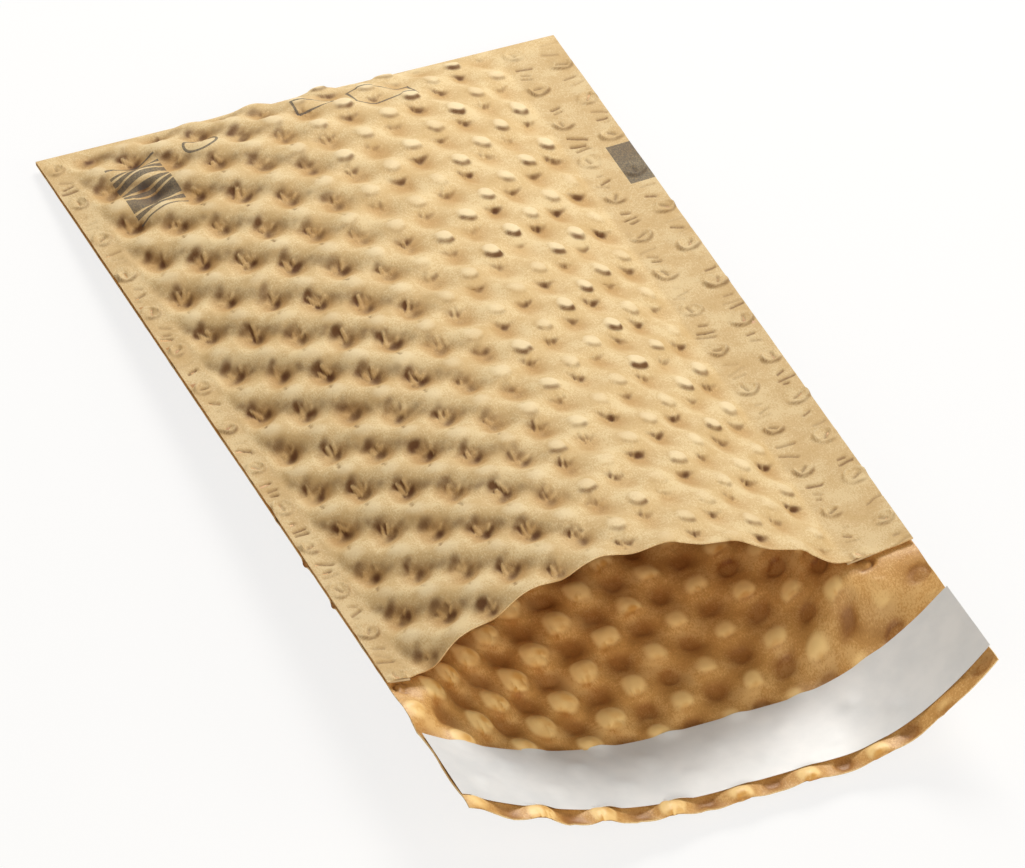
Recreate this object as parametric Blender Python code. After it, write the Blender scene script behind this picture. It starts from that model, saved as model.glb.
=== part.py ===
"""Padded mailer of embossed kraft paper, open at its mouth, with a peel-off liner on its flap.

Metres, +Z up. The mailer lies on its back panel. Its far fold is at +Y, its mouth and flap are at -Y.

One sheet makes the front panel, the far fold, the back panel and the flap. It is embossed like an egg
crate, and its two sides are pressed flat and glued. Here it is two solids, which meet at the tip of the
fold. The shape is worked out in the frame of the seams: there y is minus the distance from the far fold,
and z is the height over the plane of the seams. An empty then tilts that frame, because the seams rise
from the table towards the mouth.
"""

import math

import bmesh
import bpy
import numpy as np
from mathutils import Vector

MM = 0.001

# The flat sheet
PANEL_WIDTH = 140.0 * MM
PANEL_LENGTH = 225.0 * MM
FLAP_LENGTH = 46.0 * MM
SHEET = 0.45 * MM

# The side seams: the left one crushes one column of bumps, the right one two
LEFT_SEAM = 6.5 * MM
RIGHT_SEAM = 17.0 * MM
GLUE = 0.3 * MM
GLUE_MARGIN = 1.0 * MM
CLEARANCE = 0.3 * MM
SEAM_TILT = 0.15
HALF_SEAM = SHEET + CLEARANCE + GLUE / 2

# The embossing: bumps and dimples take turns along a column, and neighbour columns are half a period apart
COLUMN_PITCH = 8.96 * MM
CRUSHED_PITCH = 10.0 * MM
EDGE_TO_COLUMN = 2.7 * MM
BUMP_PERIOD = 16.75 * MM
BUMP_HEIGHT = 1.25 * MM
FIRST_BUMP = 5.5 * MM
BUMP_TOP = 3.4 * MM

# The shape in which it lies
MOUTH_PULL_IN = 5.0 * MM
FLAP_PULL_IN = 0.6 * MM
FOLD_BULGE = 13.0 * MM
FOLD_BULGE_RUN = 13.0 * MM
MOUTH_BULGE = 7.8 * MM
MOUTH_BULGE_POWER = 1.6
MOUTH_APEX = -8.0 * MM
BULGE_POWER = 1.9
TROUGH_DEPTH = 20.3 * MM
TROUGH_FLAT = 14.0 * MM
FLAP_ON_TABLE = 18.0 * MM
FOLD_CREASE = 7.0 * MM

# The strip on the flap
LINER_WIDTH = 23.0 * MM
LINER_SETBACK = 4.5 * MM
LINER = 0.25 * MM
LINER_SHIFT = 0.7 * MM
ADHESIVE_WIDTH = 17.0 * MM
ADHESIVE = 0.25 * MM
ADHESIVE_MARGIN = 3.0 * MM
BRIDGE_CLEARANCE = 0.6 * MM

FRONT, BACK = 1, -1
CORNERS = ((-1, -1), (1, -1), (1, 1), (-1, 1))
HALF_PERIOD = BUMP_PERIOD / 2
SHEET_END = PANEL_LENGTH + FLAP_LENGTH
TABLE_SLOPE = TROUGH_DEPTH / (PANEL_LENGTH + FLAP_ON_TABLE)


def clear_scene():
    for old in list(bpy.data.objects):
        bpy.data.objects.remove(old, do_unlink=True)


def make_material(name, colour, roughness):
    """A paper, film or glue: a Principled BSDF with a colour and a roughness, never metallic."""
    material = bpy.data.materials.new(name)
    material.use_nodes = True
    shader = material.node_tree.nodes["Principled BSDF"]
    shader.inputs["Base Color"].default_value = (*colour, 1.0)
    shader.inputs["Roughness"].default_value = roughness
    shader.inputs["Metallic"].default_value = 0.0
    material.diffuse_color = (*colour, 1.0)
    return material


def smooth_step(value):
    """0 below 0, 1 above 1, and an S-shaped curve between."""
    value = min(max(value, 0.0), 1.0)
    return value * value * (3 - 2 * value)


# The form of the mailer: s is the distance from the far fold, x is across it


def half_width(s):
    """Half the width at s: the bulge draws the mouth's corners and the flap in."""
    pouch = min(s / PANEL_LENGTH, 1.0)
    flap = max(s - PANEL_LENGTH, 0.0) / FLAP_LENGTH
    return PANEL_WIDTH / 2 - MOUTH_PULL_IN * pouch - FLAP_PULL_IN * flap


def seam_lines(s):
    """Where the two seams end and the pocket begins."""
    return LEFT_SEAM - half_width(s), half_width(s) - RIGHT_SEAM


def seam_level(x, s):
    """Height of the seams' middle: they dip a little towards the pocket. Between them, a straight line."""
    left, right = seam_lines(s)
    tilt = SEAM_TILT * min(s / PANEL_LENGTH, 1.0)
    edge = half_width(s)
    return np.interp(x, [-edge, left, right, edge], [0.0, -tilt * LEFT_SEAM, -tilt * RIGHT_SEAM, 0.0])


def from_apex(x, left, right, apex, flat=0.0):
    """0 over the flat at the apex of a bulge, and 1 at its left and right ends."""
    reach = np.where(x < apex, apex - left, right - apex)
    return np.clip((np.abs(x - apex) - flat) / (reach - flat), 0.0, 1.0)


def front_bulge(s):
    """Height of the front panel over the seams: it swells at once at the fold, and again to the mouth."""
    run = max(s - HALF_SEAM, 0.0)
    swell = FOLD_BULGE * (1 - math.exp(-run / FOLD_BULGE_RUN))
    return swell + MOUTH_BULGE * (run / PANEL_LENGTH) ** MOUTH_BULGE_POWER


def apex_at(s, at_mouth):
    """The bulge's highest line runs from the pocket's middle at the fold to its place at the mouth."""
    left, right = seam_lines(s)
    along = min(s / PANEL_LENGTH, 1.0)
    return (left + right) / 2 * (1 - along) + at_mouth * along


def trough_level(s):
    """Height of the lowest line of the back panel, on the table until the flap lifts off it."""
    return -HALF_SEAM - TABLE_SLOPE * min(s, PANEL_LENGTH + FLAP_ON_TABLE)


def front_level(x, s):
    """Outer face of the front panel, before embossing."""
    left, right = seam_lines(s)
    across = from_apex(x, left, right, apex_at(s, MOUTH_APEX))
    return seam_level(x, s) + HALF_SEAM + front_bulge(s) * (1 - across ** BULGE_POWER)


def back_level(x, s):
    """Outer face of the back panel and the flap, before embossing: a trough whose middle lies flat."""
    left, right = seam_lines(s)
    low = trough_level(s)
    apex = apex_at(s, 0.0)
    seam = seam_level(x, s) - HALF_SEAM
    pouch = low + (seam - low) * from_apex(x, left, right, apex, TROUGH_FLAT) ** 2
    edge = half_width(s)
    flap = low + (-HALF_SEAM - low) * from_apex(x, -edge, edge, apex, TROUGH_FLAT) ** 2
    share = smooth_step((s - PANEL_LENGTH) / FLAP_ON_TABLE)
    return pouch * (1 - share) + flap * share


def level(x, s, face):
    return front_level(x, s) if face == FRONT else back_level(x, s)


# The lattice of the embossing: columns across the sheet, rows along it


def crushed_columns(seam):
    """Distances from the cut edge of the columns that a seam flattens."""
    count = 1 + int(max(seam - EDGE_TO_COLUMN - CRUSHED_PITCH / 4, 0.0) / CRUSHED_PITCH)
    return [EDGE_TO_COLUMN + k * CRUSHED_PITCH for k in range(count)]


def pocket_column_count():
    return round((PANEL_WIDTH - LEFT_SEAM - RIGHT_SEAM) / COLUMN_PITCH)


def pocket_columns(s, face):
    """Places of the pocket's columns, evenly spaced along the curved sheet and not along its chord."""
    left, right = seam_lines(s)
    x = np.linspace(left, right, 81)
    z = level(x, s, face)
    length = np.concatenate([[0.0], np.cumsum(np.hypot(np.diff(x), np.diff(z)))])
    count = pocket_column_count()
    share = (np.arange(count) + 0.5) / count
    return np.interp(share * length[-1], length, x)


def row_places(s, face):
    """x of every node of a row, from the left edge to the right edge."""
    edge = half_width(s)
    left, right = seam_lines(s)
    left_seam = [place - edge for place in crushed_columns(LEFT_SEAM)]
    right_seam = [edge - place for place in reversed(crushed_columns(RIGHT_SEAM))]
    return np.array([-edge, *left_seam, left, *pocket_columns(s, face), right, *right_seam, edge])


def row_signs():
    """+1 and -1 on the columns, in turns, and 0 at the edges and the seam lines."""
    left = len(crushed_columns(LEFT_SEAM))
    right = len(crushed_columns(RIGHT_SEAM))
    turns = [(-1) ** k for k in range(left + pocket_column_count() + right)]
    return np.array([0, *turns[:left], 0, *turns[left:len(turns) - right], 0, *turns[len(turns) - right:], 0])


def seam_nodes():
    """True for the nodes that a seam presses flat."""
    left = len(crushed_columns(LEFT_SEAM)) + 2
    right = len(crushed_columns(RIGHT_SEAM)) + 2
    inner = pocket_column_count()
    return np.array([True] * left + [False] * inner + [True] * right)


def emboss_mask(u, in_seam):
    """Share of the full relief at each node of a row: none at the fold's crease nor in the pressed seams.

    u is the distance along the sheet from the far fold, minus on the front.
    """
    crease = smooth_step((abs(u) - HALF_SEAM) / FOLD_CREASE)
    flap = smooth_step((u - PANEL_LENGTH) / HALF_PERIOD)
    return crease * np.where(in_seam, flap, 1.0)


def relief(u, signs, in_seam):
    """Height of the relief at each node of a row, outwards from the sheet's middle level."""
    turn = -math.cos(math.pi * (u + FIRST_BUMP) / HALF_PERIOD)
    return BUMP_HEIGHT * turn * emboss_mask(u, in_seam) * signs


def sheet_rows():
    """Distances along the sheet of its rows: the lattice's own, the cut edges and both ends of the fold."""
    first = math.ceil((FIRST_BUMP - PANEL_LENGTH) / HALF_PERIOD)
    last = math.floor((FIRST_BUMP + SHEET_END) / HALF_PERIOD)
    lattice = [k * HALF_PERIOD - FIRST_BUMP for k in range(first, last + 1)]
    margin = HALF_PERIOD / 4
    front = [u for u in lattice if margin - PANEL_LENGTH < u < -HALF_SEAM - margin]
    back = [u for u in lattice if HALF_SEAM + margin < u < SHEET_END - margin]
    return [-PANEL_LENGTH, *front, -HALF_SEAM], [HALF_SEAM, *back, SHEET_END]


def on_sheet(x, u, height):
    """Points of the outer face. Inside the pouch, no dimple goes through the seams' plane."""
    face = FRONT if u < 0 else BACK
    s = abs(u)
    z = level(x, s, face) + face * height
    if face == FRONT:
        z = np.maximum(z, seam_level(x, s) + HALF_SEAM)
    elif s <= PANEL_LENGTH:
        z = np.minimum(z, seam_level(x, s) - HALF_SEAM)
    return [(px, -s, pz) for px, pz in zip(x, z)]


def fold_rows(x_places, face):
    """A panel's half of the far fold: a quarter turn in two steps, up to the tip that both panels share."""
    rows = []
    for step in (1, 2) if face == FRONT else (2, 3):
        angle = math.pi * step / 4
        y = -HALF_SEAM + HALF_SEAM * math.sin(angle)
        rows.append([(x, y, HALF_SEAM * math.cos(angle)) for x in x_places])
    return rows


# The solids


def add_object(name, bm, material, frame):
    """Turns a bmesh into an object that hangs on the tilted frame."""
    bmesh.ops.recalc_face_normals(bm, faces=bm.faces)
    mesh = bpy.data.meshes.new(name)
    bm.to_mesh(mesh)
    bm.free()
    mesh.materials.append(material)
    mesh.shade_smooth()
    mesh.set_sharp_from_angle(angle=math.radians(60))
    thing = bpy.data.objects.new(name, mesh)
    thing.parent = frame
    bpy.context.scene.collection.objects.link(thing)
    return thing


def join_rows(bm, first, second):
    """Fills the strip between two rows of single vertices."""
    for k in range(len(first) - 1):
        bm.faces.new((first[k], first[k + 1], second[k + 1], second[k]))


class Node:
    """One place of the lattice: the four corners of a bump's flat top, or one vertex four times over."""

    def __init__(self, bm, points, height):
        self.height = height
        verts = [bm.verts.new(point) for point in points]
        self.corners = verts * 4 if len(verts) == 1 else verts
        if len(verts) == 4:
            bm.faces.new(verts)


def node_row(bm, u, signs, in_seam):
    """The nodes of one row. A whole bump has a flat top, everything else comes to a point."""
    x = row_places(abs(u), FRONT if u < 0 else BACK)
    heights = relief(u, signs, in_seam)
    half = BUMP_TOP / 2
    middle = on_sheet(x, u, heights)
    corners = [on_sheet(x + dx * half, u + du * half, heights) for dx, du in CORNERS]
    tops = heights > BUMP_HEIGHT * 0.6
    if u in (-PANEL_LENGTH, SHEET_END):
        tops[:] = False
    return [Node(bm, [c[k] for c in corners] if tops[k] else [middle[k]], heights[k]) for k in range(len(x))]


def fill(bm, *verts):
    """A face over those of the vertices that differ, if they are three or more."""
    kept = list(dict.fromkeys(verts))
    if len(kept) >= 3:
        bm.faces.new(kept)


def join_nodes(bm, first, second):
    """Fills the strip between two rows of nodes: the bumps' sides, and each cell split along its valley."""
    for a, b in zip(first, second):
        fill(bm, a.corners[3], a.corners[2], b.corners[1], b.corners[0])
    for row in range(len(first) - 1):
        a, b, c, d = first[row], first[row + 1], second[row + 1], second[row]
        cell = [a.corners[2], b.corners[3], c.corners[0], d.corners[1]]
        if a.height + c.height > b.height + d.height:
            cell = cell[1:] + cell[:1]
        fill(bm, cell[0], cell[1], cell[2])
        fill(bm, cell[2], cell[3], cell[0])


def fill_row(bm, row):
    """Fills the gaps between the tops of one row."""
    for a, b in zip(row, row[1:]):
        fill(bm, a.corners[1], b.corners[0], b.corners[3], a.corners[2])


def thicken(bm, tip):
    """Closes an outer face into paper: an inner face one thickness behind it, and the cut edges.

    Each inner vertex lies behind its outer one, further where the faces bend, so that the paper is evenly
    thick. At the fold's tip it lies straight behind, so that the two panels meet in one plane.
    """
    bm.normal_update()
    faces, edges = list(bm.faces), [edge for edge in bm.edges if edge.is_boundary]
    inner = {}
    for vert in list(bm.verts):
        back = vert.normal * vert.calc_shell_factor()
        if vert in tip:
            back = Vector((0, 1, 0))
        inner[vert] = bm.verts.new(vert.co - SHEET * back)
    for face in faces:
        bm.faces.new([inner[vert] for vert in reversed(face.verts)])
    for edge in edges:
        a, b = edge.verts
        bm.faces.new((a, b, inner[b], inner[a]))


def kraft_panel(name, face, material, frame):
    """One panel of the embossed sheet, with its half of the far fold. The back panel has the flap."""
    bm = bmesh.new()
    signs, in_seam = row_signs(), seam_nodes()
    folded = [[Node(bm, [point], 0.0) for point in row] for row in fold_rows(row_places(HALF_SEAM, BACK), face)]
    front, back = sheet_rows()
    if face == FRONT:
        rows = [node_row(bm, u, signs, in_seam) for u in front] + folded
        tip_row = folded[-1]
    else:
        rows = folded + [node_row(bm, u, signs, in_seam) for u in back]
        tip_row = folded[0]
    for row in rows:
        fill_row(bm, row)
    for first, second in zip(rows, rows[1:]):
        join_nodes(bm, first, second)
    thicken(bm, {node.corners[0] for node in tip_row})
    return add_object(name, bm, material, frame)


def closed_slab(name, lower, upper, material, frame):
    """A solid between two grids of points with the same rows and columns."""
    bm = bmesh.new()
    low = [[bm.verts.new(point) for point in row] for row in lower]
    high = [[bm.verts.new(point) for point in row] for row in upper]
    for grid in (low, high):
        for first, second in zip(grid, grid[1:]):
            join_rows(bm, first, second)
    for first, second in ((low[0], high[0]), (low[-1], high[-1])):
        join_rows(bm, first, second)
    for k in (0, -1):
        join_rows(bm, [row[k] for row in low], [row[k] for row in high])
    return add_object(name, bm, material, frame)


def seam_glue(name, side, seam, material, frame):
    """Strip of glue between the two pressed layers of a side seam, short of the edge and the pocket."""
    lower, upper = [], []
    for s in np.linspace(HALF_SEAM + 2 * GLUE_MARGIN, PANEL_LENGTH - GLUE_MARGIN, 13):
        edge = half_width(s)
        x = side * np.array([edge - seam + GLUE_MARGIN, edge - GLUE_MARGIN])
        z = seam_level(x, s)
        lower.append([(px, -s, pz - GLUE / 2) for px, pz in zip(x, z)])
        upper.append([(px, -s, pz + GLUE / 2) for px, pz in zip(x, z)])
    return closed_slab(name, lower, upper, material, frame)


def flap_band(name, width, margin, shift, lift, thickness, material, frame):
    """Band across the inside of the flap, lying on the tops of its bumps.

    width and margin are its own, shift moves it sideways, and lift is its height over the bumps' tops.
    """
    centre = SHEET_END - LINER_SETBACK - LINER_WIDTH / 2
    lower, upper = [], []
    for s in np.linspace(centre - width / 2, centre + width / 2, 5):
        edge = half_width(s) - margin
        inner = row_places(s, BACK)[2:-2]
        x = np.array([shift - edge, *inner, shift + edge])
        z = back_level(x, s) + SHEET + BUMP_HEIGHT + BRIDGE_CLEARANCE + lift
        lower.append([(px, -s, pz) for px, pz in zip(x, z)])
        upper.append([(px, -s, pz + thickness) for px, pz in zip(x, z)])
    return closed_slab(name, lower, upper, material, frame)


def settle(frame, things):
    """Tilts the frame onto the table, and centres the mailer over the origin with its lowest point at 0."""
    frame.rotation_euler.x = -math.atan(TABLE_SLOPE)
    bpy.context.view_layer.update()
    graph = bpy.context.evaluated_depsgraph_get()
    corners = []
    for thing in things:
        evaluated = thing.evaluated_get(graph)
        mesh = evaluated.to_mesh()
        corners += [thing.matrix_world @ vert.co for vert in mesh.vertices]
        evaluated.to_mesh_clear()
    points = np.array(corners)
    low, high = points.min(axis=0), points.max(axis=0)
    frame.location = (-(low[0] + high[0]) / 2, -(low[1] + high[1]) / 2, -low[2])


def build():
    clear_scene()
    frame = bpy.data.objects.new("seam_frame", None)
    bpy.context.scene.collection.objects.link(frame)
    kraft = make_material("embossed kraft paper", (0.56, 0.37, 0.17), 0.85)
    glue = make_material("hot-melt glue", (0.72, 0.60, 0.38), 0.35)
    adhesive = make_material("pressure-sensitive adhesive", (0.86, 0.82, 0.66), 0.25)
    liner = make_material("silicone release paper", (0.80, 0.80, 0.79), 0.45)
    things = [
        kraft_panel("kraft_front", FRONT, kraft, frame),
        kraft_panel("kraft_back", BACK, kraft, frame),
        seam_glue("seam_glue_left", -1, LEFT_SEAM, glue, frame),
        seam_glue("seam_glue_right", 1, RIGHT_SEAM, glue, frame),
        flap_band("flap_adhesive", ADHESIVE_WIDTH, ADHESIVE_MARGIN, 0.0, 0.0, ADHESIVE, adhesive, frame),
        flap_band("release_liner", LINER_WIDTH, 0.0, LINER_SHIFT, ADHESIVE + CLEARANCE, LINER, liner, frame),
    ]
    settle(frame, things)


build()
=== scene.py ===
# %% [markdown]
# # A padded mailer of embossed kraft paper
#
# The real mailer is one long strip of brown paper. Rollers emboss it like an egg crate, so that it pads
# what it holds. The strip is folded once, its two sides are pressed flat and glued, and the part of the
# back that sticks out is the flap, with a glue band under a pale peel-off strip.
#
# We follow the same steps. A place on the flat strip is given by two numbers, how far across it lies and
# how far along. One function bends that flat place into the pouch, another adds the embossing, and each
# piece of the mailer is then a grid of such places.

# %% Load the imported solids, and keep their box
import math

import bpy
import numpy as np
from mathutils import Matrix, Vector


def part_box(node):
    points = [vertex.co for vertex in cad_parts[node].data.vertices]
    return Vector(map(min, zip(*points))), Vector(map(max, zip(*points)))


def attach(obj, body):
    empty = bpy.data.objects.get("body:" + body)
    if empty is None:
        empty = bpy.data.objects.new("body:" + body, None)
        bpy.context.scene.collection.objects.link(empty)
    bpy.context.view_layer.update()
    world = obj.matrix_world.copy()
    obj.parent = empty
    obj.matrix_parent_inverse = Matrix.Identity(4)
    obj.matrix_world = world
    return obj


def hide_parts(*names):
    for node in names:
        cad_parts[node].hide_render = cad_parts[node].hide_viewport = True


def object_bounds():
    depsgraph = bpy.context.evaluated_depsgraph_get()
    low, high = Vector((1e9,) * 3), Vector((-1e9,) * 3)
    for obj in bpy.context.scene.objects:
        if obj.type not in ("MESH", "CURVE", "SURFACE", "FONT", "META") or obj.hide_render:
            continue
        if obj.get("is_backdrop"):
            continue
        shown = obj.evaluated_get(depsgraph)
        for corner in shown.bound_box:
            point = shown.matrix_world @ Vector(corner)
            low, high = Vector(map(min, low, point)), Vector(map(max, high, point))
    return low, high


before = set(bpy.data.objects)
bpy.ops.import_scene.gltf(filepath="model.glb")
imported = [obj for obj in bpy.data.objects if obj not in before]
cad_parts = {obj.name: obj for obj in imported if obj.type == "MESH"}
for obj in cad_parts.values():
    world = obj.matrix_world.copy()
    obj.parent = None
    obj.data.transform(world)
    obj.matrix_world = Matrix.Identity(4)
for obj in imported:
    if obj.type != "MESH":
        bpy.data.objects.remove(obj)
cad_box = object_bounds()
front_low, front_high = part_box("kraft_front")
print("solids:", sorted(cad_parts))
print("front panel's box in mm:", [round(1000 * (b - a), 1) for a, b in zip(front_low, front_high)])

# %% [markdown]
# ## The sizes of the flat strip
#
# Lengths of the mailer are millimetres until a mesh is made. The first group is what a paper maker
# would cut and emboss. The columns of bumps run along the strip, and the bumps of neighbour columns are
# half a period apart, like the black squares of a chess board. On the back they lie 3 mm nearer to the
# fold than the front's pattern carried on round it.

# %% Sizes of the strip, its seams and its embossing
MM = 0.001
PANEL_WIDTH = 140.0
PANEL_LENGTH = 225.0
FLAP_LENGTH = 46.0
STRIP_END = PANEL_LENGTH + FLAP_LENGTH
LINER_WIDTH = 23.0
LINER_SETBACK = 4.5
PAPER = 0.3

LEFT_SEAM = 6.5
RIGHT_SEAM = 17.0
HALF_SEAM = 0.62
SEAM_TILT = 0.15

COLUMN_COUNT = 13
COLUMN_PITCH = (PANEL_WIDTH - LEFT_SEAM - RIGHT_SEAM) / COLUMN_COUNT
LEFT_COLUMN = 2.7
RIGHT_COLUMNS = (12.7, 2.7)
EDGE_NUMBERS = (-0.35, 2.3)  # column numbers at the cut edges
HALF_PERIOD = 16.75 / 2
FIRST_BUMP = 13.9
FOLD_SLIP = 3.0
print("flat strip:", PANEL_WIDTH, "by", PANEL_LENGTH + STRIP_END, "mm")
print("columns", round(COLUMN_PITCH, 2), "mm apart, bumps", 2 * HALF_PERIOD, "mm apart")

# %% [markdown]
# ## The form in which it lies
#
# The pouch stands open. The front bulges up, the back sags to the table, and both curves pull the side
# edges in. The side seams are the reference: we work in a frame in which they lie in the plane z = 0,
# with y = 0 at the far fold and the mouth at minus y. The distance from the fold is called s.

# %% Sizes of the bulge and the trough
MOUTH_PULL_IN = 5.0
FLAP_PULL_IN = 0.6
FOLD_BULGE = 13.0
FOLD_BULGE_RUN = 13.0
MOUTH_BULGE = 7.8
MOUTH_BULGE_POWER = 1.6
MOUTH_APEX = -8.0
BULGE_POWER = 1.9
TROUGH_DEPTH = 20.3
TROUGH_FLAT = 14.0
FLAP_ON_TABLE = 18.0
FLAP_APEX = 13.0
FLAP_APEX_EARLY = 0.2
SEAM_EASE = 2.2
SEAM_EASE_RUN = 30.0
FOLD_CREASE = 6.5
SOLID_HALF_SEAM = 0.9
SOLID_BUMP = 1.25
TABLE_SLOPE = TROUGH_DEPTH / (PANEL_LENGTH + FLAP_ON_TABLE)
FRONT, BACK = 1, -1


def smooth_step(value):
    """0 below 0, 1 above 1, and between them three times the square minus twice the cube."""
    value = np.clip(value, 0.0, 1.0)
    return value * value * (3 - 2 * value)


def half_width(s):
    """Half the width at s from the fold: a straight taper to the mouth and another on the flap."""
    pouch = np.clip(s / PANEL_LENGTH, 0, 1)
    flap = np.clip((s - PANEL_LENGTH) / FLAP_LENGTH, 0, 1)
    return PANEL_WIDTH / 2 - MOUTH_PULL_IN * pouch - FLAP_PULL_IN * flap


def pocket_sides(edge):
    """x of the pocket's left and right side, which are a seam's width inside the two cut edges."""
    return LEFT_SEAM - edge, edge - RIGHT_SEAM


def seam_level(x, s):
    """Height of the seams' middle: zero at the cut edge, then a slope down to the pocket's side."""
    tilt = SEAM_TILT * np.clip(s / PANEL_LENGTH, 0, 1)
    edge = half_width(s)
    left, right = pocket_sides(edge)
    across = np.clip((x - left) / (right - left), 0, 1)
    inner = -tilt * (LEFT_SEAM + (RIGHT_SEAM - LEFT_SEAM) * across)
    outer = -tilt * (edge - np.abs(x))
    return np.where((x > left) & (x < right), inner, outer)


def from_apex(x, left, right, apex, flat=0.0):
    """Distance from the apex of a bulge as a share of the way to its left or right end, 1.2 at most."""
    reach = np.where(x < apex, apex - left, right - apex)
    return np.clip((np.abs(x - apex) - flat) / (reach - flat), 0.0, 1.2)


def front_level(x, s):
    """The front: a height that saturates from the fold and grows to the mouth, times a power-law arch.

    Where the arch meets the seam, the larger of the two heights is taken with a soft bend between them.
    """
    edge = half_width(s)
    left, right = pocket_sides(edge)
    along = np.clip(s / PANEL_LENGTH, 0, 1)
    run = np.maximum(s - HALF_SEAM, 0)
    height = FOLD_BULGE * (1 - np.exp(-run / FOLD_BULGE_RUN))
    height = height + MOUTH_BULGE * (run / PANEL_LENGTH) ** MOUTH_BULGE_POWER
    apex = (left + right) / 2 * (1 - along) + MOUTH_APEX * along
    bulge = height * (1 - from_apex(x, left, right, apex) ** BULGE_POWER)
    ease = SEAM_EASE * smooth_step(run / SEAM_EASE_RUN)
    return seam_level(x, s) + HALF_SEAM + (bulge + np.sqrt(bulge ** 2 + ease ** 2)) / 2


def back_level(x, s):
    """The back: a parabola from the seams down to a flat strip on the table; wider on the flap."""
    edge = half_width(s)
    left, right = pocket_sides(edge)
    along = np.clip(s / PANEL_LENGTH, 0, 1)
    low = -SOLID_HALF_SEAM - TABLE_SLOPE * np.minimum(s, PANEL_LENGTH + FLAP_ON_TABLE)
    apex = (left + right) / 2 * (1 - along)
    seam = seam_level(x, s) - HALF_SEAM
    pouch = low + (seam - low) * np.minimum(from_apex(x, left, right, apex, TROUGH_FLAT), 1) ** 2
    apex = FLAP_APEX * smooth_step((s - PANEL_LENGTH) / FLAP_LENGTH + FLAP_APEX_EARLY)
    flap = low + (-HALF_SEAM - low) * from_apex(x, -edge, edge, apex, TROUGH_FLAT) ** 2
    share = smooth_step((s - PANEL_LENGTH) / FLAP_ON_TABLE)
    return pouch * (1 - share) + flap * share


def level(x, s, face):
    """Height of the front or of the back over the seams' plane."""
    return front_level(x, s) if face == FRONT else back_level(x, s)


print("front over the seams at the mouth:", round(float(front_level(MOUTH_APEX, PANEL_LENGTH)), 1), "mm")

# %% [markdown]
# ## From the seams' frame to the table
#
# The seams rise from the table towards the mouth, so the whole frame is tilted about the far fold. The
# fold's place comes from the box of the loaded solid.

# %% Tilt and place
TILT = math.atan(TABLE_SLOPE)
FOLD_Y = front_high.y / MM
FOLD_Z = (SOLID_HALF_SEAM + SOLID_BUMP) * math.cos(TILT)


def to_table(points):
    """Turns points of the seams' frame about the fold and moves them to the fold's place, in metres."""
    y, z = points[..., 1], points[..., 2]
    turned_y = y * math.cos(TILT) + z * math.sin(TILT)
    turned_z = -y * math.sin(TILT) + z * math.cos(TILT)
    return np.stack([points[..., 0], turned_y + FOLD_Y, turned_z + FOLD_Z], -1) * MM


def table_level(y):
    """Height of the table top in the seams' frame: the plane whose turned height is zero."""
    return y * math.tan(TILT) - FOLD_Z / math.cos(TILT)


print("tilt:", round(math.degrees(TILT), 2), "degrees; fold at y =", round(FOLD_Y, 1), "mm")

# %% [markdown]
# ## From the flat strip to the bent one
#
# Paper bends but doesn't stretch, so bumps that are evenly spaced on the flat strip stay evenly spaced
# along the curve of the pouch, not along its shadow on the table. We walk along each cross-section,
# measure its length, and place the columns by that length.

# %% Place flat positions along the curved cross-sections
ARC_POINTS = 121


def across_row(flat_x, s, face):
    """x of the flat positions in the row at s: unchanged in the seams, by length of arc between them."""
    edge = float(half_width(s))
    left, right = pocket_sides(edge)
    x = np.linspace(left, right, ARC_POINTS)
    z = level(x, s, face)
    length = np.concatenate([[0.0], np.cumsum(np.hypot(np.diff(x), np.diff(z)))])
    flat_left, flat_right = pocket_sides(PANEL_WIDTH / 2)
    share = (flat_x - flat_left) / (flat_right - flat_left)
    inside = np.interp(share * length[-1], length, x)
    outside = np.where(flat_x < 0, flat_x + PANEL_WIDTH / 2 - edge, flat_x - PANEL_WIDTH / 2 + edge)
    return np.where((share > 0) & (share < 1), inside, outside)


def column_number(flat_x):
    """Number of the column at a flat position, with whole numbers at the middles of the columns."""
    half = PANEL_WIDTH / 2
    first = np.arange(COLUMN_COUNT)
    places = np.concatenate([
        [-half, LEFT_COLUMN - half, LEFT_SEAM - half], LEFT_SEAM - half + COLUMN_PITCH * (first + 0.5),
        [half - RIGHT_SEAM, half - RIGHT_COLUMNS[0], half - RIGHT_COLUMNS[1], half]])
    last = COLUMN_COUNT
    numbers = np.concatenate([
        [EDGE_NUMBERS[0], 0.0, 0.5], first + 1.0,
        [last + 0.5, last + 1.0, last + 2.0, last + EDGE_NUMBERS[1]]])
    return np.interp(flat_x, places, numbers)


print("columns at the edges:", column_number(np.array([-PANEL_WIDTH / 2, PANEL_WIDTH / 2])))

# %% [markdown]
# ## Noise that is the same on every run
#
# No two bumps of real paper are alike. Value noise gives that: random numbers on a coarse grid, blended
# smoothly between the grid's points. A fixed seed makes the same paper each time.

# %% Value noise, and a table of random numbers for each bump
NOISE_CELLS = 256
NODE_COLUMNS, NODE_ROWS = 64, 128


def value_noise(x, y, cell, seed):
    """Random values from -1 to 1 at the corners of square cells, blended with smooth steps between."""
    table = np.random.default_rng(seed).uniform(-1, 1, (NOISE_CELLS, NOISE_CELLS))
    column, row = np.floor(x / cell).astype(int), np.floor(y / cell).astype(int)
    across, along = smooth_step(x / cell - column), smooth_step(y / cell - row)
    left, right = column % NOISE_CELLS, (column + 1) % NOISE_CELLS
    near, far = row % NOISE_CELLS, (row + 1) % NOISE_CELLS
    a, b, c, d = table[near, left], table[near, right], table[far, left], table[far, right]
    return (a * (1 - across) + b * across) * (1 - along) + (c * (1 - across) + d * across) * along


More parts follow.
